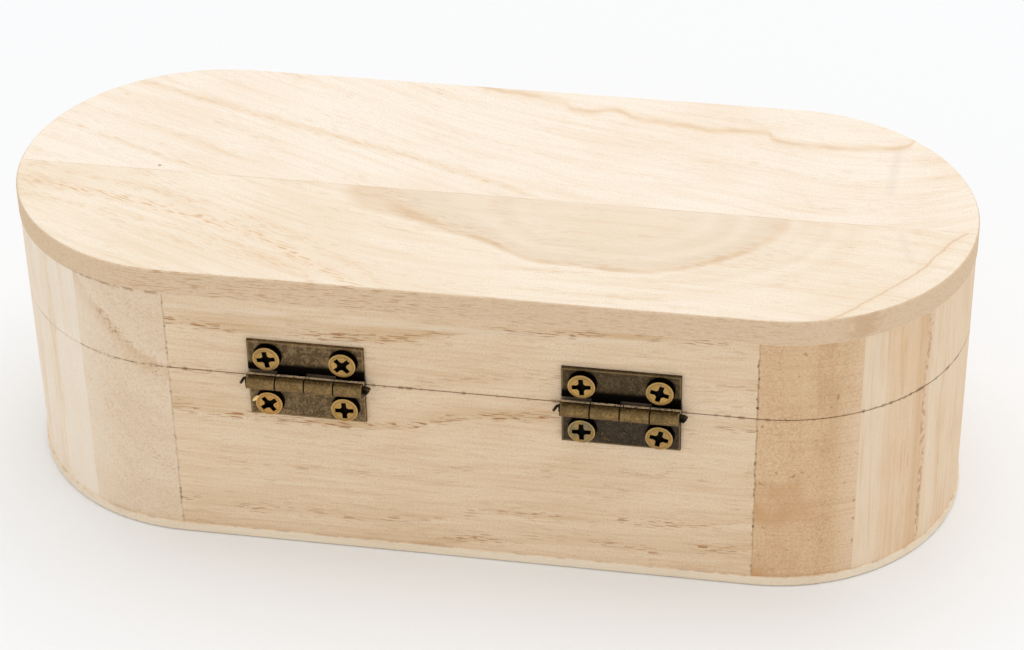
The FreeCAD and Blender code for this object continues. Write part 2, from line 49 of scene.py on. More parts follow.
PANEL_TOP, CUT_Z, TOP_UNDERSIDE, TOP_FACE = 2.2, 42.2, 60.4, 66
GLUE_Y = 3.5  # the glue line between the two boards of the top
PIN_Y, PIN_Z = 42.0, 42.2  # the axis of the hinge pins
LEAF_HALF, LEAF_WIDTH = 12, 9
SCREW_ACROSS, SCREW_UP = 7.8, 5.5  # a hinge screw's place from the middle of its hinge and from the pins


# Bottom panel. A thin sawn panel of the same pale wood, glued under the walls and left a hair
# proud of them all round. Its grain runs along the box and it is paler and plainer than the walls.

class Signal:
    """A socket in a material. Arithmetic on signals and numbers adds Math nodes."""

    def __init__(self, tree, socket):
        self.tree = tree
        self.socket = socket

    def node(self, kind, settings=None, inputs=None, output=0):
        """Add a node: its settings are set first, then its sockets. Gives one output as a signal."""
        made = self.tree.nodes.new(kind)
        for name, setting in (settings or {}).items():
            if name == "points":
                curve = made.mapping.curves[0]
                while len(curve.points) < len(setting):
                    curve.points.new(0.5, 0.5)
                for point, place in zip(curve.points, setting):
                    point.location = place
                made.mapping.update()
            else:
                setattr(made, name, setting)
        for name, given in (inputs or {}).items():
            if isinstance(given, Signal):
                self.tree.links.new(given.socket, made.inputs[name])
            else:
                made.inputs[name].default_value = given
        return Signal(self.tree, made.outputs[output])

    def math(self, operation, first, second=0.0):
        return self.node("ShaderNodeMath", {"operation": operation}, {0: first, 1: second})

    def __add__(self, other):
        return self.math("ADD", self, other)

    def __sub__(self, other):
        return self.math("SUBTRACT", self, other)

    def __rsub__(self, other):
        return self.math("SUBTRACT", other, self)

    def __mul__(self, other):
        return self.math("MULTIPLY", self, other)

    def __truediv__(self, other):
        return self.math("DIVIDE", self, other)

    def __pow__(self, other):
        return self.math("POWER", self, other)

    def __abs__(self):
        return self.math("ABSOLUTE", self)

    def __mod__(self, other):
        return self.math("FLOORED_MODULO", self, other)

    __radd__ = __add__
    __rmul__ = __mul__


def larger(first, second):
    return first.math("MAXIMUM", first, second)


def smaller(first, second):
    return first.math("MINIMUM", first, second)


def rise(signal, low, high):
    """0 up to low, 1 from high on, and a smooth step between them. With low above high it falls."""
    return signal.node("ShaderNodeMapRange", {"interpolation_type": "SMOOTHSTEP"},
                       {"Value": signal, "From Min": low, "From Max": high}, "Result")


def follow(signal, points):
    """A smooth curve through a few (place, height) points, in the signal's own units."""
    points = sorted(points)
    places, heights = zip(*points)
    (left, right), (low, high) = (places[0], places[-1]), (min(heights), max(heights))
    unit = [((place - left) / (right - left), (height - low) / (high - low)) for place, height in points]
    curve = signal.node("ShaderNodeFloatCurve", {"points": unit}, {"Value": (signal - left) / (right - left)})
    return curve * (high - low) + low


def lumps(place, sizes, detail=0.0, seed=0.0):
    """Noise between 0 and 1 whose lumps are about sizes mm large along the three coordinates in place."""
    vector = place[0].node("ShaderNodeCombineXYZ", None, dict(enumerate(place)))
    stretched = vector.node("ShaderNodeVectorMath", {"operation": "MULTIPLY_ADD"},
                            {0: vector, 1: [1 / size for size in sizes], 2: [seed] * 3})
    return stretched.node("ShaderNodeTexNoise", None,
                          {"Vector": stretched, "Scale": 1.0, "Detail": detail, "Roughness": 0.55}, "Fac")


def linear(red, green, blue):
    """A colour as a paint chart gives it, 0 to 255, in the linear numbers that shaders take."""
    steps = [part / 255 for part in (red, green, blue)]
    return tuple(s / 12.92 if s <= 0.04045 else ((s + 0.055) / 1.055) ** 2.4 for s in steps) + (1.0,)


def tint(colour, mask, other):
    """The first colour where mask is 0 and the other where it is 1."""
    return mask.node("ShaderNodeMix", {"data_type": "RGBA"}, {"Factor": mask, 6: colour, 7: other}, 2)


def new_finish(name):
    """A fresh material, and the object coordinates of the surface in millimetres."""
    material = bpy.data.materials.new(name)
    material.use_nodes = True
    tree = material.node_tree
    coordinates = Signal(tree, tree.nodes.new("ShaderNodeTexCoord").outputs["Object"])
    split = coordinates.node("ShaderNodeVectorMath", {"operation": "SCALE"}, {0: coordinates, "Scale": 1000.0})
    parts = split.node("ShaderNodeSeparateXYZ", None, {0: split}).socket.node
    return material, [Signal(tree, output) for output in parts.outputs]


def put_on(material, names):
    """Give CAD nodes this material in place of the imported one."""
    for name in names:
        nodes[name].data.materials.clear()
        nodes[name].data.materials.append(material)


def close_finish(material, colour, roughness, height, depth, metallic=0.0, specular=0.3):
    """Feed colour, roughness and the height of the surface's relief, depth mm deep, to the shader."""
    tree = material.node_tree
    shader = tree.nodes["Principled BSDF"]
    shader.inputs["Specular IOR Level"].default_value = specular
    bump = height.node("ShaderNodeBump", None, {"Strength": 1.0, "Distance": depth / 1000, "Height": height})
    for name, given in (("Base Color", colour), ("Roughness", roughness), ("Metallic", metallic),
                        ("Normal", bump)):
        if isinstance(given, Signal):
            tree.links.new(given.socket, shader.inputs[name])
        else:
            shader.inputs[name].default_value = given


def wood(name, growth, fibres, tones, rings, look, seed, marks):
    """Solid wood. growth(x, y, z) is a distance across the year rings in mm, fibres(x, y, z, growth) the
    coordinates along and across the fibres. rings lists (start, strength, reach): a ring starts sharply with
    a row of open pores, and its tan wood fades over its reach. tones are the pale, tan and pore colours.
    marks adds this board's own lines and stains."""
    material, (x, y, z) = new_finish(name)
    pale, tan, pore = (linear(*tone) for tone in tones)
    even = growth(x, y, z)
    waver = lumps(fibres(x, y, z, even), look["waver_size"], 1.0, seed) - 0.5
    grown = even + waver * look["waver"]
    place = fibres(x, y, z, grown)
    zone, row = 0.0, 0.0
    for start, strength, reach in rings:
        side = 1 if reach > 0 else -1
        zone = rise(grown, start - 0.5 * side, start + 0.1 * side) * rise(grown, start + reach, start) * strength + zone
        row = rise(abs(grown - start - 0.5 * side), look["row"], 0.2) * strength + row
    patchy = rise(lumps(place, (24, 6, 6), 1.0, seed + 5), 0.34, 0.6)
    bands = grown.node("ShaderNodeTexNoise", {"noise_dimensions": "1D"},
                       {"W": grown / look["band_size"] + seed, "Scale": 1.0, "Detail": 2.0}, "Fac")
    fibre = lumps(place, look["fibre_size"], 2.0, seed + 9)
    streak = lumps(place, (26, 2.2, 2.2), 1.0, seed + 4)
    mottle = lumps((x, y, z), (26, 18, 14), 1.0, seed + 2)
    grit = lumps((x, y, z), (0.4, 0.4, 0.4), 2.0, seed + 3)
    shade = (zone * (patchy * 0.6 + 0.4) * look["zone"] + rise(bands, 0.42, 0.7) * look["bands"]
             + rise(streak, 0.46, 0.74) * look["streak"] + rise(mottle, 0.4, 0.72) * look["mottle"]
             + rise(fibre, 0.44, 0.72) * look["fibre"])
    colour = tint(pale, smaller(shade, 1.0), tan)
    colour = tint(colour, rise(fibre, 0.47, 0.27) * look["gleam"], linear(*look["light"]))
    colour = tint(colour, rise(grit, 0.44, 0.72) * look["grit"], linear(*look["dust"]))
    vessel = rise(lumps(place, look["pore_size"], 0.0, seed + 7) + row * 0.035, 0.61, 0.69)
    dense = rise(lumps(place, (12, 4, 4), 1.0, seed + 8), 0.38, 0.62)
    pores = smaller(vessel * dense * (row * look["pores"] + look["stray"]), 0.9)
    colour = tint(colour, pores, pore)
    for mask, stain in marks(x, y, z, grown):
        colour = tint(colour, mask, linear(*stain))
    height = fibre * 0.3 + grit * 0.4 - pores * 0.6
    close_finish(material, colour, 0.74 + 0.12 * fibre, height, look["relief"])
    return material


PLAIN = {
    "waver": 3.0, "waver_size": (45, 12, 12), "row": 1.9, "zone": 0.65, "bands": 0.15, "band_size": 2.6,
    "mottle": 0.25, "streak": 0.2, "fibre": 0.3, "fibre_size": (14, 0.7, 0.7), "gleam": 0.3, "light": (244, 226, 202),
    "grit": 0.3, "dust": (196, 160, 120), "pore_size": (3.2, 0.27, 0.27), "pores": 0.95, "stray": 0.3, "relief": 0.16,
}


def along_x(x, y, z, growth):
    return x, y, z


def along_y(x, y, z, growth):
    return y, x, z


def along_z(x, y, z, growth):
    return z, x, y


def outside(x, y):
    """1 on the outer faces of the walls and 0 from half a millimetre inside them on. The walls' outline is two
    straights and two half rounds."""
    past_straight = larger(abs(x) - STRAIGHT, 0.0)
    return rise((past_straight * past_straight + y * y) ** 0.5, RADIUS - 0.5, RADIUS - 0.2)


def bottom_marks(x, y, z, growth):
    """A thin shadow line where the walls stand on the panel."""
    seam = rise(abs(z - PANEL_TOP), 0.16, 0.04) * rise(lumps((x, y, z), (3, 3, 1), 1.0, 4), 0.5, 0.62)
    return [(seam * outside(x, y) * 0.3, (168, 136, 100))]


def panel_growth(x, y, z):
    """Rings counted across the panel, which lean as they go up through it."""
    return y * 0.8 + z * 0.4


PANEL_TONES = ((247, 232, 208), (236, 215, 186), (206, 172, 132))
PANEL_RINGS = ((-28, 0.5, 6), (-9, 0.6, 6), (14, 0.5, -6), (30, 0.5, 5))
PANEL_LOOK = {**PLAIN, "stray": 0.05, "pores": 0.4, "grit": 0.12}
put_on(wood("bottom_wood_finish", panel_growth, along_x, PANEL_TONES, PANEL_RINGS, PANEL_LOOK, 11.0, bottom_marks),
       ["bottom_panel"])


# Straight walls, front and back. Flat-sawn boards on edge with the grain along the box; the lid was
# sawn off after gluing up, so one board runs through lid and base, with a glue joint at each end.

WALL_TONES = ((240, 215, 183), (220, 187, 146), (180, 126, 76))


def joint_dots(x, y, z):
    """The glue joints between straight walls and round ends: a thin line and the dark dots along it."""
    waver = (lumps((x, y, z), (4, 4, 4), 2.0, 23) - 0.5) * 0.7
    near = abs(abs(x + waver) - STRAIGHT)
    open_run = rise(lumps((x, y, z), (8, 8, 8), 1.0, 27), 0.36, 0.62)
    dots = rise(near, 0.38, 0.14) * rise(lumps((x, y, z), (1.2, 1.2, 1.0), 1.0, 21), 0.54, 0.62)
    tight = 1 - rise(x, -20, 20) * 0.45
    return rise(near, 0.22, 0.06) * (open_run * 0.35 + 0.25) * tight, dots * (open_run * 0.6 + 0.25) * tight


def rim_marks(x, y, z):
    """The edges of the saw cut of the lid, browned, with torn fibres here and there."""
    torn = rise(lumps((x, y, z), (1.8, 1.8, 3), 1.0, 31), 0.5, 0.66)
    from_cut = abs(z - CUT_Z)
    return larger(rise(from_cut, 0.6, 0.15) * torn * 0.6, rise(from_cut, 0.22, 0.12) * 0.3) * outside(x, y)


def from_hinge(x):
    """Distance along the box from the middle of the nearer hinge."""
    middles = [sum(corner.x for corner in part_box(f"{side}_hinge_lid_leaf")) * 500 for side in ("left", "right")]
    half_apart, middle = (middles[1] - middles[0]) / 2, (middles[1] + middles[0]) / 2
    return abs(abs(x - middle) - half_apart)


def end_marks(x, y, z, growth):
    line, dots = joint_dots(x, y, z)
    return [(line, (150, 112, 76)), (dots, (86, 62, 42)), (rim_marks(x, y, z), (132, 90, 56))]


def wall_marks(x, y, z, growth):
    """Glue joints, torn fibres, a pale streak high on the lid, and painted shade on the wood behind the hinge barrels.
    """
    pale = rise(abs(z - 57.6), 1.1, 0.2) * rise(lumps((x, y, z), (16, 16, 2), 1.0, 33), 0.4, 0.62)
    # Painted shade on the wall behind the hinge barrels, on its outer face only.
    behind = rise(from_hinge(x), LEAF_HALF + 0.4, LEAF_HALF - 0.1) * rise(abs(z - PIN_Z), 2.4, 1.9)
    painted_barrel_shade = behind * rise(y, RADIUS - 0.5, RADIUS - 0.2)
    return end_marks(x, y, z, growth) + [(pale * 0.4, (244, 228, 206)), (painted_barrel_shade * 0.8, (92, 74, 54))]


def back_growth(x, y, z):
    """Rings that lie almost level in the right half of the board and climb towards its left end."""
    level = follow(x, ((100, 32), (60, 31.9), (44, 31.1), (17, 31.4), (4, 34.2), (-12, 36.6), (-20, 36.9),
                       (-45, 37.9), (-60, 40), (-100, 43)))
    return z - level + (y - 40) * 0.5


def front_growth(x, y, z):
    """Rings that rise a little towards the right end."""
    return z - x * 0.05 - (y + 40) * 0.6 - 28


WALL_LOOK = {**PLAIN, "waver": 2.6, "stray": 0.2, "pores": 1.0}
BACK_RINGS = ((-31, 0.9, 6), (-24, 0.6, 6), (-12, 0.2, 5), (0, 1.0, 6), (10, 0.3, 5), (21.5, 0.9, 7))
FRONT_RINGS = ((-19, 0.8, 7), (-6, 0.3, 5), (4, 0.9, 7), (17, 0.3, 5), (27, 0.9, -7))
put_on(wood("back_wall_wood", back_growth, along_x, WALL_TONES, BACK_RINGS, WALL_LOOK, 1.0, wall_marks),
       ["base_back_wall", "lid_back_wall"])
put_on(wood("front_wall_wood", front_growth, along_x, WALL_TONES, FRONT_RINGS, WALL_LOOK, 63.0, wall_marks),
       ["base_front_wall", "lid_front_wall"])


# Shoulders. The inner of the two boards of each round end, its grain across the box, so the curved
# outside shows speckled end grain. The hollow cuts each board into a back and a front piece.

END_GRAIN = {
    **PLAIN, "pore_size": (5.0, 0.6, 0.6), "pores": 0.7, "stray": 0.16, "gleam": 0.2, "streak": 0.1,
    "fibre_size": (9, 0.6, 0.6), "waver_size": (20, 9, 9),
}


def under_top(x, y, z):
    """The joint under the top boards, open here and there over the right shoulders."""
    open_joint = rise(lumps((x, y, z), (2.6, 2.6, 5), 2.0, 37), 0.42, 0.6) * outside(x, y)
    return rise(abs(z - TOP_UNDERSIDE), 0.5, 0.15) * open_joint * rise(x, 59, 61) * rise(x, 80.5, 78) * 0.65


def right_shoulder_marks(x, y, z, growth):
    """Paler towards the cap, and the open joint under the top."""
    return end_marks(x, y, z, growth) + [
        (rise(x, 70, 80.5) * 0.42, (252, 236, 215)), (under_top(x, y, z), (130, 86, 52))]


def left_shoulder_marks(x, y, z, growth):
    """Browner low down and paler high up beside the wall, greyer and then paler towards the cap, with faint level
    saw marks and specks."""
    grey = rise(abs(x + 74), 5, 1) * rise(z, 26, 44) * rise(lumps((x, y, z), (2.5, 2.5, 16), 1.0, 53), 0.34, 0.6)
    brown = rise(lumps((x, y, z), (9, 9, 12), 1.0, 52), 0.46, 0.66) * rise(z, 40, 22) * rise(x, -76, -66)
    sawn = rise(lumps((x, y, z), (30, 30, 0.4), 1.0, 55), 0.5, 0.72)
    speck = rise(lumps((x, y, z), (1.1, 1.1, 1.1), 0.0, 58), 0.78, 0.83)
    fading = rise(x, -74, -80) * (1 - rise(z, 40, 46) * 0.5)
    patch = rise(abs(x + 67.5), 4.5, 1) * rise(z, 43, 48)
    return end_marks(x, y, z, growth) + [
        (brown * 0.75, (204, 156, 108)), (grey * 0.3, (198, 160, 120)), (fading * 0.45, (244, 218, 188)),
        (patch * 0.25, (238, 208, 172)), (sawn * 0.25, (196, 152, 108)), (speck * 0.5, (140, 100, 66))]


def slanting_growth(x, y, z):
    """Rings that fall from the outer edge of the board towards the wall and level out there."""
    level = follow(x, ((59, 42.3), (60, 42.5), (64, 43.8), (68, 46.4), (72, 50.8), (78.8, 59.5), (82, 63.8)))
    return (z - level) * 0.64


def upright_growth(x, y, z):
    """Rings that stand upright in the end grain, counted from the middle of the box."""
    return abs(x) + z * 0.03


put_on(wood("right_shoulder_wood", slanting_growth, along_y, ((239, 217, 190), (221, 190, 153), (192, 142, 94)),
            ((0, 1.0, -5), (-17, 0.25, 5), (14, 0.3, 5), (-34, 0.3, 5)), END_GRAIN, 5.0, right_shoulder_marks),
       [f"{level}_right_{face}_shoulder" for level in ("base", "lid") for face in ("back", "front")])
LEFT_SHOULDER_LOOK = {**END_GRAIN, "stray": 0.08, "fibre": 0.2, "grit": 0.45, "dust": (180, 138, 96)}
put_on(wood("left_shoulder_wood", upright_growth, along_y, ((229, 195, 155), (211, 169, 124), (182, 136, 92)),
            ((74, 0.35, 4), (66, 0.2, 4)), LEFT_SHOULDER_LOOK, 8.0, left_shoulder_marks),
       [f"{level}_left_{face}_shoulder" for level in ("base", "lid") for face in ("back", "front")])


# End caps. The outer board of each round end, turned to the curve with the shoulders, its rings
# standing upright as pale and tan bands.

def right_cap_marks(x, y, z, growth):
    """Pale greyish bands and thin orange streaks, upright."""
    ragged = x + (lumps((x, y, z), (3, 3, 30), 1.0, 71) - 0.5) * 2.5
    pale = follow(ragged, ((79, 0.7), (82, 0.9), (83.8, 0.3), (84.8, 0.9), (86, 0.8), (87.2, 0.2), (89, 0.1),
                           (91, 0.6), (94, 0.2), (97, 0.5), (100, 0.3)))
    streak = rise(lumps((z, x, y), (16, 0.9, 0.9), 1.0, 73), 0.56, 0.7) * (1 - pale)
    return [(pale * 0.4, (246, 236, 222)), (streak * 0.25, (218, 178, 132)), (rim_marks(x, y, z) * 0.2, (156, 114, 76))]


def left_cap_marks(x, y, z, growth):
    """A pale band beside the shoulder, a dark dotted streak with a pale line, and softer bands after them."""
    ragged = x + (lumps((x, y, z), (3, 3, 30), 1.0, 75) - 0.5) * 1.2
    pale = follow(ragged, ((-101, 0.4), (-98.5, 0.1), (-97, 0.5), (-95.5, 0.1), (-94.5, 0.8), (-93.4, 0.8), (-92.6, 0),
                           (-91.5, 0), (-87, 0.1), (-84.6, 0.5), (-83, 0.95), (-80.5, 0.85), (-79, 0.6)))
    dotted = rise(abs(ragged + 92.2), 0.45, 0.1) * rise(lumps((x, y, z), (1.0, 1.0, 1.6), 2.0, 77), 0.46, 0.6)
    soft = rise(abs(ragged + 91.4), 1.8, 0.2)
    golden = rise(abs(ragged + 88), 4, 2) * (rise(z, 38, 46) * 0.1 + 0.12)
    streak = rise(lumps((z, x, y), (20, 0.8, 0.8), 1.0, 79), 0.54, 0.7)
    edge = rise(abs(x + CAP_JOINT), 0.2, 0.06)
    return [(pale * 0.35, (246, 230, 206)), (golden, (226, 182, 128)), (streak * 0.25, (214, 172, 126)),
            (soft * 0.4, (212, 166, 116)), (dotted * 0.5, (164, 114, 68)), (edge * 0.2, (186, 148, 108)),
            (rim_marks(x, y, z), (104, 70, 44))]


CAP_LOOK = {**END_GRAIN, "fibre": 0.3, "gleam": 0.3, "stray": 0.06, "pores": 0.3, "grit": 0.14}
put_on(wood("right_cap_wood", upright_growth, along_z, ((252, 236, 215), (241, 216, 185), (210, 166, 120)),
            ((89, 0.5, 3), (93.5, 0.4, 3), (97, 0.4, 3)), CAP_LOOK, 15.0, right_cap_marks),
       [f"{level}_right_end_cap" for level in ("base", "lid")])
put_on(wood("left_cap_wood", upright_growth, along_z, ((240, 215, 184), (228, 193, 154), (188, 142, 96)),
            ((89, 0.4, 3), (96, 0.5, 2.5)), CAP_LOOK, 18.0, left_cap_marks),
       [f"{level}_left_end_cap" for level in ("base", "lid")])


# Dust in the saw cut. The cut round the right end is packed with fine sanding dust, so it hardly shows
# there; the dust sits on the rim of the base and has crumbled out in places over the shoulders.

def packed_dust(name, start, radius, low, high, count):
    """A strip along half a circle about (start, 0), between the heights low and high: flat inside, while its
    outer face lies a little behind radius and deeper where three waves along the arc add up. Millimetres."""
    angle = np.linspace(math.pi / 2, -math.pi / 2, count)
    run = np.abs(angle) * radius
    wave = np.sin(2.1 * run) + np.sin(3.3 * run + 1) + np.sin(0.7 * run + 2)
    crumbled = np.clip(wave - 0.3, 0, 1) * np.where(np.abs(angle) > math.pi / 3, 0.5, 0.03)
    outer, inner = radius - 0.03 - crumbled, np.full(count, radius - 1.2)
    section = ((outer, low), (outer, high), (inner, high), (inner, low))
    rows = [(start + reach * np.cos(angle), reach * np.sin(angle), np.full(count, height)) for reach, height in section]
    corners = np.stack([np.stack(row, axis=1) for row in rows], axis=1)
    grid = np.arange(count * 4).reshape(count, 4)
    after = np.roll(grid, -1, axis=1)
    sides = np.stack([grid[:-1], after[:-1], after[1:], grid[1:]], axis=-1).reshape(-1, 4)
    ends = np.array([grid[0][::-1], grid[-1]])
    mesh = bpy.data.meshes.new(name)
    mesh.from_pydata((corners.reshape(-1, 3) / 1000).tolist(), [], np.concatenate([sides, ends]).tolist())
    piece = bpy.data.objects.new(name, mesh)
    bpy.context.scene.collection.objects.link(piece)
    return piece


dust = packed_dust("right_seam_dust", STRAIGHT, RADIUS, CUT_Z - 0.09, CUT_Z + 0.08, 481)
dust_finish, (x, y, z) = new_finish("seam_dust_finish")
crumbs = lumps((x, y, z), (0.5, 0.5, 0.5), 2.0, 81)
dust_colour = tint(linear(240, 220, 192), rise(crumbs, 0.4, 0.66), linear(206, 166, 124))
close_finish(dust_finish, dust_colour, 0.9, crumbs, 0.05)
dust.data.materials.append(dust_finish)
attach(dust, "base")


# Top of the lid. Two boards edge-glued along the middle and sanded; the one at the hinges shows a
# closed flame figure, the other runs slightly across the box with soft streaks.

TOP_TONES = ((252, 241, 226), (238, 212, 180), (216, 172, 122))
FLAME_TONES = ((249, 236, 217), (233, 205, 170), (212, 166, 114))
TOP_LOOK = {
    **PLAIN, "relief": 0.1, "mottle": 0.2, "waver": 1.6, "waver_size": (24, 8, 8), "light": (250, 240, 226),
    "stray": 0.2, "grit": 0.4, "dust": (230, 202, 168), "fibre": 0.18, "streak": 0.25, "bands": 0.06, "zone": 0.45,
    "row": 1.3, "pores": 0.5, "pore_size": (3.2, 0.3, 0.3), "gleam": 0.15,
}


def flame_growth(x, y, z):
    """Distance from a heart that bows towards the surface: its height under the top follows the box."""
    below = follow(x, ((100, 47), (60, 40), (35, 36.2), (25, 35), (12, 33.8), (4.5, 32.6), (-3, 31.2), (-8, 29.5),
                       (-13, 27.9), (-20, 27.4), (-33, 26.9), (-40, 28.1), (-49, 30.8), (-58, 34), (-62, 35.2),
                       (-75, 41), (-100, 53)))
    depth = below + (z - TOP_FACE) * 0.8
    return ((y - 4.5) * (y - 4.5) + depth * depth) ** 0.5


def streak_growth(x, y, z):
    """Rings that stand across the board; the run of the streaks turns along the box."""
    run = follow(x, ((100, 46), (45, 23), (-10, 0), (-45, -7), (-75, -12), (-100, -5)))
    return y + run + (TOP_FACE - z) * 0.4


def along_flame(x, y, z, growth):
    """The fibres slant at the right end of the board and run along it from the flame on."""
    return x, y + follow(x, ((100, 34), (60, 18), (25, 5), (0, 0.5), (-30, 0), (-70, -2), (-100, -6))), z


def along_streaks(x, y, z, growth):
    return x, growth, z


def smear(x, y, first, last, width):
    """A soft stain along the line from first to last: 1 on the line and 0 from width on."""
    (x0, y0), (x1, y1) = first, last
    length = math.hypot(x1 - x0, y1 - y0)
    along = ((x - x0) * (x1 - x0) + (y - y0) * (y1 - y0)) / length
    across = ((x - x0) * (y1 - y0) - (y - y0) * (x1 - x0)) / length
    past = larger(abs(along - length / 2) - length / 2, 0.0)
    return rise((past * past + across * across) ** 0.5, width, 0.0)


def top_marks(x, y, z, growth):
    """Rougher sawn edges, browner partly for their wood and partly as painted shade on these sides; the glue
    line, two grey finger smears and a speck.
    """
    # The sawn edges' browner tint: partly the rougher wood, partly painted shade on the sides of the boards.
    sawn = rise(z, TOP_FACE - 0.05, TOP_FACE - 0.2) * rise(z, TOP_UNDERSIDE + 0.01, TOP_UNDERSIDE + 0.1)
    glue = rise(abs(y - GLUE_Y), 0.22, 0.08) * (rise(lumps((x, y, z), (9, 1, 3), 1.0, 41), 0.42, 0.6) * 0.8 + 0.2)
    smears = larger(smear(x, y, (-84.7, 6.1), (-87.3, 15.2), 1.6), smear(x, y, (-82.1, -25.2), (-81.5, -9), 1.8))
    speck = smear(x, y, (70.1, 1.7), (70.3, 1.7), 0.5)
    fine = rise(lumps((x, y, z), (0.9, 0.9, 0.4), 1.0, 43), 0.46, 0.7)
    dashes = rise(lumps((x, y, z), (3.4, 3.4, 0.24), 0.0, 44), 0.58, 0.68)
    dashes = dashes * (rise(x, -10, 20) * 0.3 + 0.3) * rise(abs(x), 78, 60)
    patch = rise(abs(x + CAP_JOINT), 6, 1) * rise(lumps((x, y, z), (3, 3, 3), 1.0, 46), 0.36, 0.6)
    under = under_top(x, y, z) * sawn
    return [(glue * 0.3, (196, 152, 106)), (smears * 0.3, (224, 211, 196)), (speck * 0.8, (130, 92, 60)),
            (sawn * (1 - smears), (228, 200, 167)), (sawn * fine * 0.3, (200, 164, 126)),
            (sawn * dashes, (188, 146, 102)), (sawn * patch * 0.35, (190, 148, 104)), (under, (130, 86, 52))]


def off_line(along, across, points, ragged, seed):
    """Distance across from a line through points (along, across), which strays up to ragged mm to each side.
    Past the ends of the line the distance grows."""
    strays = (lumps((along, across, along), (5, 5, 5), 2.0, seed) - 0.5) * ragged * 4
    ends = [place for place, height in points]
    past = larger(larger(min(ends) - along, along - max(ends)), 0.0)
    return abs(across - follow(along, points) + strays) + past * 0.3


def ticks(place, seed):
    """Short fine dashes, the open pores of one row."""
    return rise(lumps(place, (2.8, 0.34, 0.34), 0.0, seed), 0.56, 0.66)


def flame_marks(x, y, z, growth):
    """Greyer wood inside the flame, rows of pores along its right shoulder, and a thin brown ring at the left
    end."""
    inside = rise(growth, 35.6, 34.2)
    rim = rise(abs(growth - 35), 0.8, 0.1) * (rise(lumps((x, y, z), (12, 12, 12), 1.0, 47), 0.36, 0.6) * 0.6 + 0.4)
    arcs = larger(rise(abs(growth - 33.7), 1.2, 0.3), rise(abs(growth - 31), 1.0, 0.3) * 0.6)
    outer_arcs = rise(abs((growth - 37.4) % 2.4 - 1.2), 1.0, 0.2) * rise(x, -36, -54) * rise(growth, 43, 38)
    arcs = larger(arcs, outer_arcs * 0.7)
    row = off_line(x, y, ((96, 10.5), (78, 14.5), (57, 20), (45, 24.2), (34, 31), (22, 38)), 0.8, 48)
    row = larger(rise(row, 2.6, 0.4), rise(abs(row - 5.5), 1.6, 0.4) * 0.5)
    ring = off_line(y, x, ((3.4, -97.7), (9.1, -94), (19.3, -88.7), (24.9, -84.3), (34.1, -76.7), (38, -73)), 0.5, 49)
    return [(inside * 0.4, (234, 214, 190)), (arcs * 0.22, (222, 200, 174)), (rim * 0.55, (216, 180, 138)),
            (row * 0.25, (240, 214, 182)), (row * ticks(along_flame(x, y, z, growth), 50) * 0.7, (218, 172, 120)),
            (rise(ring, 3, 0.5) * 0.25, (234, 206, 172)), (rise(ring, 0.5, 0.1) * 0.4, (212, 168, 120)),
            ] + top_marks(x, y, z, growth)


def streak_marks(x, y, z, growth):
    """A soft tan streak from the right end to the glue line, and a wavy brown ring and a bruise along the front
    edge."""
    streak = off_line(x, y, ((88, -33.6), (71, -27.3), (47, -18.7), (31, -13.3), (16, -8.1), (-6, 0.7)), 0.6, 65)
    wave = off_line(x, y, ((8, -39.6), (-9.5, -35.5), (-14.3, -32.8), (-20.6, -34.1), (-25.3, -31.8), (-33, -30.4),
                           (-43, -28.9), (-54.2, -29.3), (-55.8, -26.9), (-62, -25.5), (-75, -25.8), (-85, -30)),
                    0.4, 67)
    broken = rise(lumps((x, y, z), (10, 4, 4), 1.0, 69), 0.34, 0.62)
    nick = smear(x, y, (10, -40.2), (7.3, -40.2), 0.9)
    return [(rise(streak, 2.4, 0) * 0.4, (236, 206, 170)),
            (rise(streak, 1.2, 0.2) * ticks((x, growth, z), 68) * 0.5, (218, 176, 128)),
            (rise(wave, 2.8, 0) * 0.45, (238, 208, 172)), (rise(wave, 1.3, 0.1) * broken * 0.35, (216, 176, 130)),
            (nick * 0.6, (206, 168, 126))] + top_marks(x, y, z, growth)


FLAME_RINGS = ((35, 0.7, -3), (31.5, 0.4, -2), (29, 0.35, -2), (37.5, 0.25, -2), (41, 0.25, 3), (46, 0.15, 4),
               (52, 0.1, 5))
STREAK_RINGS = ((-14, 0.3, 4), (13, 0.4, 5), (22, 0.35, 4), (-26, 0.2, 4), (31, 0.4, 4))
FLAME_LOOK = {**TOP_LOOK, "waver": 0.7}
put_on(wood("hinge_side_top_wood", flame_growth, along_flame, FLAME_TONES, FLAME_RINGS, FLAME_LOOK, 24.0, flame_marks),
       ["lid_back_board"])
put_on(wood("clasp_side_top_wood", streak_growth, along_streaks, TOP_TONES, STREAK_RINGS, TOP_LOOK, 28.0, streak_marks),
       ["lid_front_board"])


# Hinge leaves. Stamped brass sheet with rolled knuckles, darkened to an antique bronze. The patina is
# thin along the edges and rubbed to brass on the front of the knuckles. Painted shade fills the creases, the
# gaps between the knuckles and the crevices under the screw heads; a painted dark band, lighter painted
# brass on the front and a pale painted highlight along the crest stand in for the knuckles' reflections.

def from_screw(x, z):
    """Distance from the axis of the nearest hinge screw."""
    across = from_hinge(x) - SCREW_ACROSS
    up = abs(z - PIN_Z) - SCREW_UP
    return (across * across + up * up) ** 0.5


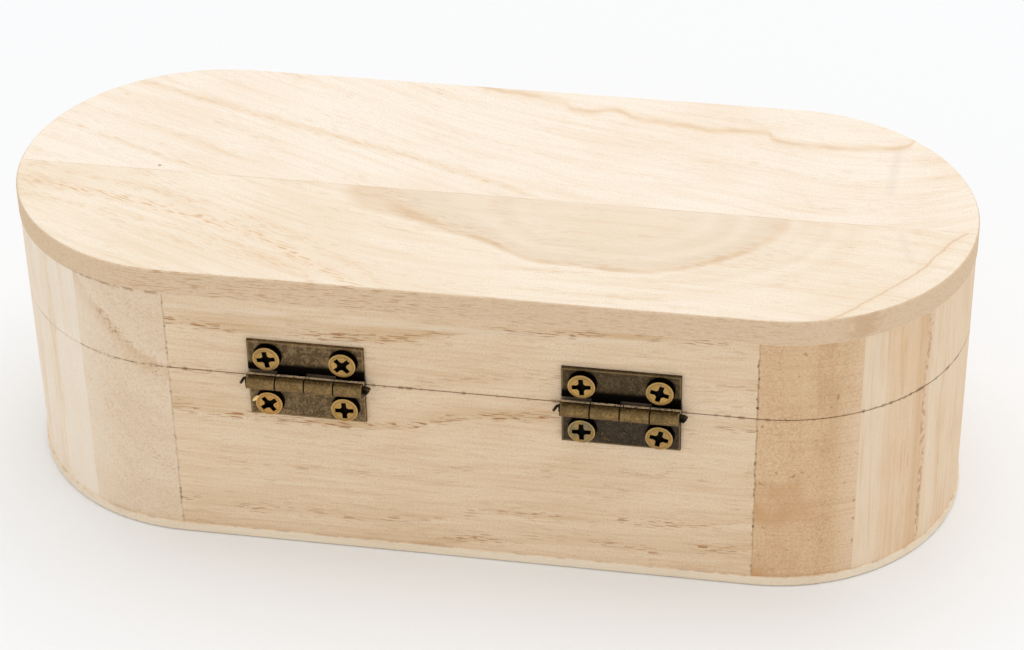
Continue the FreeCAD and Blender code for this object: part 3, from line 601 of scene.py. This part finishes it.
def bronze(name, tones, worn, painted_shade, dust_and_sheen, seed):
    """Dark patina over brass. tones(x, y, z) gives its light and dark colours, worn(x, y, z) is 1 where it is
    rubbed back to brass, the next function gives where near black painted shade covers it, and the last where
    pale dust lies and where a pale painted highlight stands in for the sheen on a crest."""
    material, (x, y, z) = new_finish(name)
    cloud = lumps((x, y, z), (1.5, 1.5, 1.5), 3.0, seed)
    fleck = lumps((x, y, z), (0.45, 0.45, 0.45), 2.0, seed + 3)
    scratch = lumps((x + z * 0.6, y, z - x * 0.6), (2.6, 0.3, 0.2), 1.0, seed + 5)
    light, dark = tones(x, y, z)
    colour = tint(light, rise(cloud * 0.5 + fleck * 0.5, 0.36, 0.62), dark)
    rubbed = smaller(worn(x, y, z) * (0.3 + fleck * 1.2) + rise(fleck * 0.6 + cloud * 0.4, 0.54, 0.7) * 0.35
                     + rise(scratch, 0.62, 0.74) * 0.25, 1.0)
    colour = tint(colour, rubbed, linear(172, 142, 92))
    # Near black painted shade.
    colour = tint(colour, painted_shade(x, y, z), linear(14, 11, 8))
    # Pale dust, and along the crests of the hinge knuckles a pale painted highlight; where either lies the metal is
    # less metallic.
    dust = dust_and_sheen(x, y, z) * rise(fleck, 0.3, 0.5)
    colour = tint(colour, dust, linear(214, 184, 146))
    roughness = 0.46 - 0.12 * rubbed + (fleck - 0.5) * 0.25
    close_finish(material, colour, roughness, fleck + scratch * 0.4, 0.03, 1 - dust, 0.5)
    return material


def on_barrel(y):
    """1 on the rolled knuckles, which stand further out than the plates of the leaves."""
    return rise(y, 40.95, 41.2)


def leaf_tones(x, y, z):
    """The right hinge is worn lighter; the lower leaf of the left one is the greyest. On the knuckles a painted
    dark band under the crest and lighter painted brass on the front stand in for reflections.
    """
    right = rise(x, -2, 2)
    low = rise(z, PIN_Z - 1, PIN_Z - 2)
    light = tint(tint(linear(98, 82, 60), low, linear(78, 68, 57)), right, linear(136, 113, 82))
    dark = tint(tint(linear(58, 48, 35), low, linear(48, 41, 34)), right, linear(78, 63, 45))
    up, out = z - PIN_Z, y - PIN_Y
    # Painted reflection: a dark band under the crest of each knuckle, and lighter brass on its front.
    band = on_barrel(y) * rise(up, 0.2, 0.6) * rise(out, 0.1, 0.35) * rise(out, 1.45, 1.1)
    front = on_barrel(y) * rise(up, 1.2, 0.8) * rise(out, 0.6, 1.1)
    for mask, lighter, darker in ((front, linear(146, 118, 76), linear(62, 48, 29)),
                                  (band, linear(86, 66, 37), linear(34, 24, 11))):
        light, dark = tint(light, mask, lighter), tint(dark, mask, darker)
    return light, dark


def leaf_wear(x, y, z):
    """Thin along the free edge and the ends, and a little on the front of the barrel."""
    inset = smaller(LEAF_HALF - from_hinge(x), LEAF_WIDTH - abs(z - PIN_Z))
    border = rise(abs(inset - 0.22), 0.2, 0.06) * rise(y, 40.6, 40.75)
    return larger(border * 0.4, on_barrel(y) * rise(y - PIN_Y, 0.9, 1.3) * 0.25)


def leaf_painted_shade(x, y, z):
    """Painted shade and shadow: round the screw heads, most of it above them, in the crease above the barrel and
    between the knuckles.
    """
    up = z - PIN_Z
    plate = 1 - on_barrel(y)
    # Painted shade on the plates next to the barrel, above and below it.
    crease = rise(up, 4.6, 3.3) * rise(up, -2.6, -2.0)
    # Painted shadow under the proud screw heads, most of it above them.
    heads = rise(from_screw(x + 0.12, z - 0.2), 3.1, 2.8)
    # Painted shade in the gaps between the knuckles.
    between = rise(abs((from_hinge(x) + 3) % 6 - 3), 0.22, 0.1)
    return larger(plate * larger(crease, heads), on_barrel(y) * between * 0.8)


def leaf_crest_highlight(x, y, z):
    """A pale painted highlight along the crest of the barrel, less metallic there."""
    return on_barrel(y) * rise(z - PIN_Z, 0.4, 0.9) * rise(y - PIN_Y, 0.25, 0.0)


put_on(bronze("leaf_bronze", leaf_tones, leaf_wear, leaf_painted_shade, leaf_crest_highlight, 2.0),
       [f"{side}_hinge_{level}_leaf" for side in ("left", "right") for level in ("lid", "base")])


# Hinge pins. Wire with the same dark finish, pushed through the knuckles and turned down at both ends
# so that it can't slide out.

def pin_tones(x, y, z):
    return linear(64, 54, 40), linear(40, 34, 26)


def pin_wear(x, y, z):
    """A little brass on the tips."""
    return rise(from_hinge(x), 13.2, 13.5) * 0.3


def pin_painted_shade(x, y, z):
    """Painted shade, black where the wire leaves the knuckles."""
    return rise(from_hinge(x), 13.3, 12.6) * 0.9


def pin_dust(x, y, z):
    """A trace on top of the bent ends."""
    return rise(z, PIN_Z + 0.2, PIN_Z + 0.7) * 0.03


put_on(bronze("pin_bronze", pin_tones, pin_wear, pin_painted_shade, pin_dust, 12.0), ["left_hinge_pin", "right_hinge_pin"])


# Hinge screws. Brass-plated wood screws with cross recesses, driven until their cones wedge in the
# leaves, so the heads stand proud. The plating is bright on the faces; the cross recesses are painted near
# black as shade, and a thin painted highlight runs round each rim.

def screw_brass(name, seed):
    """Brass with a turned ring inside the rim; one head is coppery and one has gone green. A thin painted
    highlight runs round the rim, and the cross recess is painted near black as shade.
    """
    material, (x, y, z) = new_finish(name)
    out = from_screw(x, z)
    fleck = lumps((x, y, z), (0.45, 0.45, 0.45), 2.0, seed)
    cloud = lumps((x, y, z), (7.0, 3.0, 7.0), 1.0, seed + 2)
    low = rise(z, PIN_Z, PIN_Z - 1)
    copper = rise(x, 35, 36) * low
    green = rise(abs(x + 25.2), 4.0, 3.4) * low * rise(lumps((x, y, z), (2.4, 2.4, 2.4), 1.0, seed + 4), 0.36, 0.56)
    colour = tint(linear(202, 161, 94), rise(cloud, 0.4, 0.62), linear(180, 145, 90))
    colour = tint(colour, copper * 0.5, linear(206, 150, 80))
    colour = tint(colour, green * 0.75, linear(118, 122, 98))
    colour = tint(colour, rise(fleck, 0.5, 0.74) * 0.5, linear(138, 106, 60))
    turned = rise(abs(out % 0.5 - 0.25), 0.08, 0.2)
    ring = rise(abs(out - 2.3), 0.2, 0.05)
    colour = tint(colour, larger(ring * 0.45, turned * 0.35), linear(112, 84, 46))
    # A thin painted highlight round the rim of the head.
    colour = tint(colour, rise(abs(out - 2.6), 0.16, 0.05) * 0.25, linear(232, 198, 132))
    face = max(corner.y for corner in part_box("lid_hinge_screws")) * 1000
    # Near black painted shade in the cross recess.
    recess_shade = rise(y, face - 0.06, face - 0.3) * rise(out, 2.3, 1.95)
    colour = tint(colour, recess_shade, linear(18, 15, 11))
    close_finish(material, colour, 0.36 + 0.14 * fleck, fleck - ring * 0.6, 0.04, 1.0, 0.5)
    return material


put_on(screw_brass("screw_brass", 6.0), ["lid_hinge_screws", "base_hinge_screws"])


# Burr. A curl of brass that the driver tore out of one head of the base's hinge screws. It still hangs on
# by its root and shines, because its metal is fresh.

def sliver(name, path, widths, sides):
    """A thin curl of metal: rings of points about each point of path, squeezed to half their width outwards
    from the wall, with both ends drawn to a point. All in millimetres."""
    path, widths = np.array(path), np.array(widths)
    angle = np.linspace(0, 2 * math.pi, sides, endpoint=False)
    around = np.stack([np.cos(angle), np.sin(angle) * 0.5, np.cos(angle) * 0.5], axis=1)
    rings = path[:, None, :] + widths[:, None, None] * around[None, :, :]
    corners = np.concatenate([rings.reshape(-1, 3), path[:1], path[-1:]]) / 1000
    grid = np.arange(len(path) * sides).reshape(len(path), sides)
    after = np.roll(grid, -1, axis=1)
    walls = np.stack([grid[:-1], grid[1:], after[1:], after[:-1]], axis=-1).reshape(-1, 4)
    first, last = len(corners) - 2, len(corners) - 1
    caps = [(first, a, b) for a, b in zip(grid[0], after[0])]
    caps += [(last, b, a) for a, b in zip(grid[-1], after[-1])]
    mesh = bpy.data.meshes.new(name)
    mesh.from_pydata(corners.tolist(), [], walls.tolist() + [tuple(int(i) for i in cap) for cap in caps])
    piece = bpy.data.objects.new(name, mesh)
    bpy.context.scene.collection.objects.link(piece)
    return piece


BURR_PATH = ((40.95, 41.95, 38.5), (41.25, 42.0, 38.15), (41.55, 42.1, 37.8), (41.85, 42.25, 37.5),
             (42.05, 42.4, 37.35))
burr = sliver("screw_head_burr", BURR_PATH, (0.1, 0.26, 0.34, 0.26, 0.08), 10)
burr_finish, (x, y, z) = new_finish("burr_brass")
torn = lumps((x, y, z), (0.3, 0.3, 0.3), 1.0, 3.0)
burr_colour = tint(linear(252, 228, 172), torn, linear(226, 184, 112))
close_finish(burr_finish, burr_colour, 0.22 + 0.1 * torn, torn, 0.03, 1.0, 0.5)
burr.data.materials.append(burr_finish)
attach(burr, "base")


# Front clasp. A stamped bronze hook on a shoulder screw and washer in the base; it swings up over
# the neck of a second screw in the lid.

def clasp_tones(x, y, z):
    return linear(112, 94, 68), linear(76, 62, 45)


def clasp_wear(x, y, z):
    """The hook's face where fingers push it and the tops of the screws."""
    return rise(y, -41.2, -42.1) * rise(lumps((x, y, z), (3, 3, 3), 1.0, 9.0), 0.42, 0.7) * 0.7


def clasp_painted_shade(x, y, z):
    """Painted shade low on the sides, against the wood."""
    return rise(y, -40.7, -40.3) * 0.8


def clasp_dust(x, y, z):
    """A thin film, in patches."""
    return rise(lumps((x, y, z), (4, 4, 4), 1.0, 13.0), 0.5, 0.75) * 0.15


put_on(bronze("clasp_bronze", clasp_tones, clasp_wear, clasp_painted_shade, clasp_dust, 22.0),
       ["clasp_hook", "clasp_spacer", "clasp_pivot_screw", "clasp_catch_screw"])


# Floor. A seamless sheet of white paper under the box, a hair below the bottom panel so that the two
# faces don't fall together.

def sheet_of_paper(name, half, drop):
    """A level square of side twice half, drop below the box, as a grid of four corners. Metres."""
    corners = [(-half, -half, -drop), (half, -half, -drop), (half, half, -drop), (-half, half, -drop)]
    mesh = bpy.data.meshes.new(name)
    mesh.from_pydata(corners, [], [(0, 1, 2, 3)])
    paper = bpy.data.objects.new(name, mesh)
    bpy.context.scene.collection.objects.link(paper)
    material, (x, y, z) = new_finish(name + "_finish")
    fine = lumps((x, y, z), (1.5, 1.5, 1.5), 2.0)
    close_finish(material, tint(linear(246, 247, 248), fine, linear(248, 249, 250)), 0.9, fine, 0.01, 0.0, 0.1)
    mesh.materials.append(material)
    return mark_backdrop(paper)


sheet_of_paper("paper_floor", 6.0, 0.0001)


# Studio light. A wide soft box overhead, a little behind the box as the photo sees it, and a pale dome
# that fills the shadows.

def soft_box(name, place, aim, size, power):
    """A square area lamp of the given size at place, turned to aim. Metres and watts."""
    lamp = bpy.data.lights.new(name, "AREA")
    lamp.shape, lamp.size, lamp.energy = "SQUARE", size, power
    holder = bpy.data.objects.new(name, lamp)
    holder.location = place
    direction = Vector(aim) - Vector(place)
    holder.rotation_euler = direction.to_track_quat("-Z", "Y").to_euler()
    bpy.context.scene.collection.objects.link(holder)


soft_box("high_soft_box", (-0.2, -0.2, 2.0), (0, 0, 0.03), 2.0, 15.5)
world = bpy.data.worlds.new("pale_dome")
bpy.context.scene.world = world
world.use_nodes = True
world.node_tree.nodes["Background"].inputs["Color"].default_value = (1, 1, 1, 1)
world.node_tree.nodes["Background"].inputs["Strength"].default_value = 0.75


# Camera. From above on the hinge side, fitted to the box's outline; the focal length is in pixels of
# the picture's width.

FOCAL_PIXELS, PICTURE_WIDTH, SENSOR = 2976.96, 1024, 36.0
camera = bpy.data.objects.new("camera", bpy.data.cameras.new("camera"))
camera.data.sensor_width = SENSOR
camera.data.lens = FOCAL_PIXELS * SENSOR / PICTURE_WIDTH
camera.location = (-0.097404, 0.511622, 0.394336)
camera.rotation_euler = (0.961594, 0.015995, 0.169652 + math.pi)
bpy.context.scene.collection.objects.link(camera)
bpy.context.scene.camera = camera
bpy.context.scene.view_settings.view_transform = "Standard"
